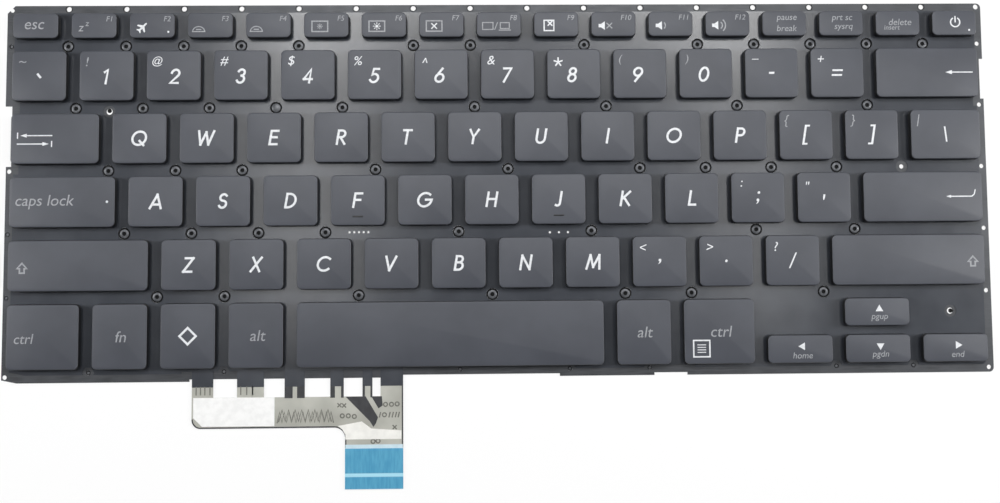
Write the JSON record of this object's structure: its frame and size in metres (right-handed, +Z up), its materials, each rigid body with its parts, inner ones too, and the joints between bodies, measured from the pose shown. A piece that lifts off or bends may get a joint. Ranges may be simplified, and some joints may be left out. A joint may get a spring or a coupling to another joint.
{
  "type": "laptop replacement keyboard",
  "caption": "Thin laptop keyboard module: low flat keys on a stamped metal plate and film membrane, with a film tail that ends in a blue stiffener.",
  "frame": {"origin": "middle of the key field, on the base plate's flat underside", "axes": "+X to the typist's right, +Y away from the typist, +Z up out of the key tops"},
  "size_m": [0.283, 0.1382, 0.0041],
  "materials": {
    "plate": "satin dark coating",
    "film": "matt dark film, light grey tail",
    "label": "white paper",
    "stiffener": "satin blue film",
    "dome": "translucent silicone",
    "frame": "moulded",
    "wire": "drawn wire",
    "keycap": "matt soft-touch, white lettering"
  },
  "bodies": {
    "base": {"base_plate": "plate", "membrane": "film", "tail_label": "label", "tail_stiffener": "stiffener", "rubber_domes": "dome", "scissor_outer_frames": "frame", "scissor_inner_frames": "frame", "stabiliser_wires": "wire", "function_row_keys": "keycap", "number_row_keys": "keycap"},
    "tab_key": {"key_tab": "keycap"},
    "q_key": {"key_q": "keycap"},
    "w_key": {"key_w": "keycap"},
    "e_key": {"key_e": "keycap"},
    "r_key": {"key_r": "keycap"},
    "t_key": {"key_t": "keycap"},
    "y_key": {"key_y": "keycap"},
    "u_key": {"key_u": "keycap"},
    "i_key": {"key_i": "keycap"},
    "o_key": {"key_o": "keycap"},
    "p_key": {"key_p": "keycap"},
    "left_bracket_key": {"key_left_bracket": "keycap"},
    "right_bracket_key": {"key_right_bracket": "keycap"},
    "backslash_key": {"key_backslash": "keycap"},
    "caps_lock_key": {"key_caps_lock": "keycap"},
    "a_key": {"key_a": "keycap"},
    "s_key": {"key_s": "keycap"},
    "d_key": {"key_d": "keycap"},
    "f_key": {"key_f": "keycap"},
    "g_key": {"key_g": "keycap"},
    "h_key": {"key_h": "keycap"},
    "j_key": {"key_j": "keycap"},
    "k_key": {"key_k": "keycap"},
    "l_key": {"key_l": "keycap"},
    "semicolon_key": {"key_semicolon": "keycap"},
    "quote_key": {"key_quote": "keycap"},
    "enter_key": {"key_enter": "keycap"},
    "left_shift_key": {"key_left_shift": "keycap"},
    "z_key": {"key_z": "keycap"},
    "x_key": {"key_x": "keycap"},
    "c_key": {"key_c": "keycap"},
    "v_key": {"key_v": "keycap"},
    "b_key": {"key_b": "keycap"},
    "n_key": {"key_n": "keycap"},
    "m_key": {"key_m": "keycap"},
    "comma_key": {"key_comma": "keycap"},
    "period_key": {"key_period": "keycap"},
    "slash_key": {"key_slash": "keycap"},
    "right_shift_key": {"key_right_shift": "keycap"},
    "left_ctrl_key": {"key_left_ctrl": "keycap"},
    "fn_key": {"key_fn": "keycap"},
    "plain_key": {"key_plain": "keycap"},
    "left_alt_key": {"key_left_alt": "keycap"},
    "space_key": {"key_space": "keycap"},
    "right_alt_key": {"key_right_alt": "keycap"},
    "right_ctrl_key": {"key_right_ctrl": "keycap"},
    "arrow_left_key": {"key_arrow_left": "keycap"},
    "arrow_up_key": {"key_arrow_up": "keycap"},
    "arrow_down_key": {"key_arrow_down": "keycap"},
    "arrow_right_key": {"key_arrow_right": "keycap"}
  },
  "joints": [
    {"name": "tab_press", "type": "slide", "parent": "base", "child": "tab_key", "axis": [0, 0, -1], "range_m": [0, 0.0012], "stiffness_N_per_m": 300, "springref_m": -0.0004, "deforming": ["rubber_domes", "scissor_outer_frames", "scissor_inner_frames"]},
    {"name": "q_press", "type": "slide", "parent": "base", "child": "q_key", "axis": [0, 0, -1], "range_m": [0, 0.0012], "stiffness_N_per_m": 300, "springref_m": -0.0004, "deforming": ["rubber_domes", "scissor_outer_frames", "scissor_inner_frames"]},
    {"name": "w_press", "type": "slide", "parent": "base", "child": "w_key", "axis": [0, 0, -1], "range_m": [0, 0.0012], "stiffness_N_per_m": 300, "springref_m": -0.0004, "deforming": ["rubber_domes", "scissor_outer_frames", "scissor_inner_frames"]},
    {"name": "e_press", "type": "slide", "parent": "base", "child": "e_key", "axis": [0, 0, -1], "range_m": [0, 0.0012], "stiffness_N_per_m": 300, "springref_m": -0.0004, "deforming": ["rubber_domes", "scissor_outer_frames", "scissor_inner_frames"]},
    {"name": "r_press", "type": "slide", "parent": "base", "child": "r_key", "axis": [0, 0, -1], "range_m": [0, 0.0012], "stiffness_N_per_m": 300, "springref_m": -0.0004, "deforming": ["rubber_domes", "scissor_outer_frames", "scissor_inner_frames"]},
    {"name": "t_press", "type": "slide", "parent": "base", "child": "t_key", "axis": [0, 0, -1], "range_m": [0, 0.0012], "stiffness_N_per_m": 300, "springref_m": -0.0004, "deforming": ["rubber_domes", "scissor_outer_frames", "scissor_inner_frames"]},
    {"name": "y_press", "type": "slide", "parent": "base", "child": "y_key", "axis": [0, 0, -1], "range_m": [0, 0.0012], "stiffness_N_per_m": 300, "springref_m": -0.0004, "deforming": ["rubber_domes", "scissor_outer_frames", "scissor_inner_frames"]},
    {"name": "u_press", "type": "slide", "parent": "base", "child": "u_key", "axis": [0, 0, -1], "range_m": [0, 0.0012], "stiffness_N_per_m": 300, "springref_m": -0.0004, "deforming": ["rubber_domes", "scissor_outer_frames", "scissor_inner_frames"]},
    {"name": "i_press", "type": "slide", "parent": "base", "child": "i_key", "axis": [0, 0, -1], "range_m": [0, 0.0012], "stiffness_N_per_m": 300, "springref_m": -0.0004, "deforming": ["rubber_domes", "scissor_outer_frames", "scissor_inner_frames"]},
    {"name": "o_press", "type": "slide", "parent": "base", "child": "o_key", "axis": [0, 0, -1], "range_m": [0, 0.0012], "stiffness_N_per_m": 300, "springref_m": -0.0004, "deforming": ["rubber_domes", "scissor_outer_frames", "scissor_inner_frames"]},
    {"name": "p_press", "type": "slide", "parent": "base", "child": "p_key", "axis": [0, 0, -1], "range_m": [0, 0.0012], "stiffness_N_per_m": 300, "springref_m": -0.0004, "deforming": ["rubber_domes", "scissor_outer_frames", "scissor_inner_frames"]},
    {"name": "left_bracket_press", "type": "slide", "parent": "base", "child": "left_bracket_key", "axis": [0, 0, -1], "range_m": [0, 0.0012], "stiffness_N_per_m": 300, "springref_m": -0.0004, "deforming": ["rubber_domes", "scissor_outer_frames", "scissor_inner_frames"]},
    {"name": "right_bracket_press", "type": "slide", "parent": "base", "child": "right_bracket_key", "axis": [0, 0, -1], "range_m": [0, 0.0012], "stiffness_N_per_m": 300, "springref_m": -0.0004, "deforming": ["rubber_domes", "scissor_outer_frames", "scissor_inner_frames"]},
    {"name": "backslash_press", "type": "slide", "parent": "base", "child": "backslash_key", "axis": [0, 0, -1], "range_m": [0, 0.0012], "stiffness_N_per_m": 300, "springref_m": -0.0004, "deforming": ["rubber_domes", "scissor_outer_frames", "scissor_inner_frames"]},
    {"name": "caps_lock_press", "type": "slide", "parent": "base", "child": "caps_lock_key", "axis": [0, 0, -1], "range_m": [0, 0.0012], "stiffness_N_per_m": 300, "springref_m": -0.0004, "deforming": ["rubber_domes", "scissor_outer_frames", "scissor_inner_frames", "stabiliser_wires"]},
    {"name": "a_press", "type": "slide", "parent": "base", "child": "a_key", "axis": [0, 0, -1], "range_m": [0, 0.0012], "stiffness_N_per_m": 300, "springref_m": -0.0004, "deforming": ["rubber_domes", "scissor_outer_frames", "scissor_inner_frames"]},
    {"name": "s_press", "type": "slide", "parent": "base", "child": "s_key", "axis": [0, 0, -1], "range_m": [0, 0.0012], "stiffness_N_per_m": 300, "springref_m": -0.0004, "deforming": ["rubber_domes", "scissor_outer_frames", "scissor_inner_frames"]},
    {"name": "d_press", "type": "slide", "parent": "base", "child": "d_key", "axis": [0, 0, -1], "range_m": [0, 0.0012], "stiffness_N_per_m": 300, "springref_m": -0.0004, "deforming": ["rubber_domes", "scissor_outer_frames", "scissor_inner_frames"]},
    {"name": "f_press", "type": "slide", "parent": "base", "child": "f_key", "axis": [0, 0, -1], "range_m": [0, 0.0012], "stiffness_N_per_m": 300, "springref_m": -0.0004, "deforming": ["rubber_domes", "scissor_outer_frames", "scissor_inner_frames"]},
    {"name": "g_press", "type": "slide", "parent": "base", "child": "g_key", "axis": [0, 0, -1], "range_m": [0, 0.0012], "stiffness_N_per_m": 300, "springref_m": -0.0004, "deforming": ["rubber_domes", "scissor_outer_frames", "scissor_inner_frames"]},
    {"name": "h_press", "type": "slide", "parent": "base", "child": "h_key", "axis": [0, 0, -1], "range_m": [0, 0.0012], "stiffness_N_per_m": 300, "springref_m": -0.0004, "deforming": ["rubber_domes", "scissor_outer_frames", "scissor_inner_frames"]},
    {"name": "j_press", "type": "slide", "parent": "base", "child": "j_key", "axis": [0, 0, -1], "range_m": [0, 0.0012], "stiffness_N_per_m": 300, "springref_m": -0.0004, "deforming": ["rubber_domes", "scissor_outer_frames", "scissor_inner_frames"]},
    {"name": "k_press", "type": "slide", "parent": "base", "child": "k_key", "axis": [0, 0, -1], "range_m": [0, 0.0012], "stiffness_N_per_m": 300, "springref_m": -0.0004, "deforming": ["rubber_domes", "scissor_outer_frames", "scissor_inner_frames"]},
    {"name": "l_press", "type": "slide", "parent": "base", "child": "l_key", "axis": [0, 0, -1], "range_m": [0, 0.0012], "stiffness_N_per_m": 300, "springref_m": -0.0004, "deforming": ["rubber_domes", "scissor_outer_frames", "scissor_inner_frames"]},
    {"name": "semicolon_press", "type": "slide", "parent": "base", "child": "semicolon_key", "axis": [0, 0, -1], "range_m": [0, 0.0012], "stiffness_N_per_m": 300, "springref_m": -0.0004, "deforming": ["rubber_domes", "scissor_outer_frames", "scissor_inner_frames"]},
    {"name": "quote_press", "type": "slide", "parent": "base", "child": "quote_key", "axis": [0, 0, -1], "range_m": [0, 0.0012], "stiffness_N_per_m": 300, "springref_m": -0.0004, "deforming": ["rubber_domes", "scissor_outer_frames", "scissor_inner_frames"]},
    {"name": "enter_press", "type": "slide", "parent": "base", "child": "enter_key", "axis": [0, 0, -1], "range_m": [0, 0.0012], "stiffness_N_per_m": 300, "springref_m": -0.0004, "deforming": ["rubber_domes", "scissor_outer_frames", "scissor_inner_frames", "stabiliser_wires"]},
    {"name": "left_shift_press", "type": "slide", "parent": "base", "child": "left_shift_key", "axis": [0, 0, -1], "range_m": [0, 0.0012], "stiffness_N_per_m": 300, "springref_m": -0.0004, "deforming": ["rubber_domes", "scissor_outer_frames", "scissor_inner_frames", "stabiliser_wires"]},
    {"name": "z_press", "type": "slide", "parent": "base", "child": "z_key", "axis": [0, 0, -1], "range_m": [0, 0.0012], "stiffness_N_per_m": 300, "springref_m": -0.0004, "deforming": ["rubber_domes", "scissor_outer_frames", "scissor_inner_frames"]},
    {"name": "x_press", "type": "slide", "parent": "base", "child": "x_key", "axis": [0, 0, -1], "range_m": [0, 0.0012], "stiffness_N_per_m": 300, "springref_m": -0.0004, "deforming": ["rubber_domes", "scissor_outer_frames", "scissor_inner_frames"]},
    {"name": "c_press", "type": "slide", "parent": "base", "child": "c_key", "axis": [0, 0, -1], "range_m": [0, 0.0012], "stiffness_N_per_m": 300, "springref_m": -0.0004, "deforming": ["rubber_domes", "scissor_outer_frames", "scissor_inner_frames"]},
    {"name": "v_press", "type": "slide", "parent": "base", "child": "v_key", "axis": [0, 0, -1], "range_m": [0, 0.0012], "stiffness_N_per_m": 300, "springref_m": -0.0004, "deforming": ["rubber_domes", "scissor_outer_frames", "scissor_inner_frames"]},
    {"name": "b_press", "type": "slide", "parent": "base", "child": "b_key", "axis": [0, 0, -1], "range_m": [0, 0.0012], "stiffness_N_per_m": 300, "springref_m": -0.0004, "deforming": ["rubber_domes", "scissor_outer_frames", "scissor_inner_frames"]},
    {"name": "n_press", "type": "slide", "parent": "base", "child": "n_key", "axis": [0, 0, -1], "range_m": [0, 0.0012], "stiffness_N_per_m": 300, "springref_m": -0.0004, "deforming": ["rubber_domes", "scissor_outer_frames", "scissor_inner_frames"]},
    {"name": "m_press", "type": "slide", "parent": "base", "child": "m_key", "axis": [0, 0, -1], "range_m": [0, 0.0012], "stiffness_N_per_m": 300, "springref_m": -0.0004, "deforming": ["rubber_domes", "scissor_outer_frames", "scissor_inner_frames"]},
    {"name": "comma_press", "type": "slide", "parent": "base", "child": "comma_key", "axis": [0, 0, -1], "range_m": [0, 0.0012], "stiffness_N_per_m": 300, "springref_m": -0.0004, "deforming": ["rubber_domes", "scissor_outer_frames", "scissor_inner_frames"]},
    {"name": "period_press", "type": "slide", "parent": "base", "child": "period_key", "axis": [0, 0, -1], "range_m": [0, 0.0012], "stiffness_N_per_m": 300, "springref_m": -0.0004, "deforming": ["rubber_domes", "scissor_outer_frames", "scissor_inner_frames"]},
    {"name": "slash_press", "type": "slide", "parent": "base", "child": "slash_key", "axis": [0, 0, -1], "range_m": [0, 0.0012], "stiffness_N_per_m": 300, "springref_m": -0.0004, "deforming": ["rubber_domes", "scissor_outer_frames", "scissor_inner_frames"]},
    {"name": "right_shift_press", "type": "slide", "parent": "base", "child": "right_shift_key", "axis": [0, 0, -1], "range_m": [0, 0.0012], "stiffness_N_per_m": 300, "springref_m": -0.0004, "deforming": ["rubber_domes", "scissor_outer_frames", "scissor_inner_frames", "stabiliser_wires"]},
    {"name": "left_ctrl_press", "type": "slide", "parent": "base", "child": "left_ctrl_key", "axis": [0, 0, -1], "range_m": [0, 0.0012], "stiffness_N_per_m": 300, "springref_m": -0.0004, "deforming": ["rubber_domes", "scissor_outer_frames", "scissor_inner_frames"]},
    {"name": "fn_press", "type": "slide", "parent": "base", "child": "fn_key", "axis": [0, 0, -1], "range_m": [0, 0.0012], "stiffness_N_per_m": 300, "springref_m": -0.0004, "deforming": ["rubber_domes", "scissor_outer_frames", "scissor_inner_frames"]},
    {"name": "plain_press", "type": "slide", "parent": "base", "child": "plain_key", "axis": [0, 0, -1], "range_m": [0, 0.0012], "stiffness_N_per_m": 300, "springref_m": -0.0004, "deforming": ["rubber_domes", "scissor_outer_frames", "scissor_inner_frames"]},
    {"name": "left_alt_press", "type": "slide", "parent": "base", "child": "left_alt_key", "axis": [0, 0, -1], "range_m": [0, 0.0012], "stiffness_N_per_m": 300, "springref_m": -0.0004, "deforming": ["rubber_domes", "scissor_outer_frames", "scissor_inner_frames"]},
    {"name": "space_press", "type": "slide", "parent": "base", "child": "space_key", "axis": [0, 0, -1], "range_m": [0, 0.0012], "stiffness_N_per_m": 300, "springref_m": -0.0004, "deforming": ["rubber_domes", "scissor_outer_frames", "scissor_inner_frames", "stabiliser_wires"]},
    {"name": "right_alt_press", "type": "slide", "parent": "base", "child": "right_alt_key", "axis": [0, 0, -1], "range_m": [0, 0.0012], "stiffness_N_per_m": 300, "springref_m": -0.0004, "deforming": ["rubber_domes", "scissor_outer_frames", "scissor_inner_frames"]},
    {"name": "right_ctrl_press", "type": "slide", "parent": "base", "child": "right_ctrl_key", "axis": [0, 0, -1], "range_m": [0, 0.0012], "stiffness_N_per_m": 300, "springref_m": -0.0004, "deforming": ["rubber_domes", "scissor_outer_frames", "scissor_inner_frames"]},
    {"name": "arrow_left_press", "type": "slide", "parent": "base", "child": "arrow_left_key", "axis": [0, 0, -1], "range_m": [0, 0.0012], "stiffness_N_per_m": 300, "springref_m": -0.0004, "deforming": ["rubber_domes", "scissor_outer_frames", "scissor_inner_frames"]},
    {"name": "arrow_up_press", "type": "slide", "parent": "base", "child": "arrow_up_key", "axis": [0, 0, -1], "range_m": [0, 0.0012], "stiffness_N_per_m": 300, "springref_m": -0.0004, "deforming": ["rubber_domes", "scissor_outer_frames", "scissor_inner_frames"]},
    {"name": "arrow_down_press", "type": "slide", "parent": "base", "child": "arrow_down_key", "axis": [0, 0, -1], "range_m": [0, 0.0012], "stiffness_N_per_m": 300, "springref_m": -0.0004, "deforming": ["rubber_domes", "scissor_outer_frames", "scissor_inner_frames"]},
    {"name": "arrow_right_press", "type": "slide", "parent": "base", "child": "arrow_right_key", "axis": [0, 0, -1], "range_m": [0, 0.0012], "stiffness_N_per_m": 300, "springref_m": -0.0004, "deforming": ["rubber_domes", "scissor_outer_frames", "scissor_inner_frames"]}
  ]
}
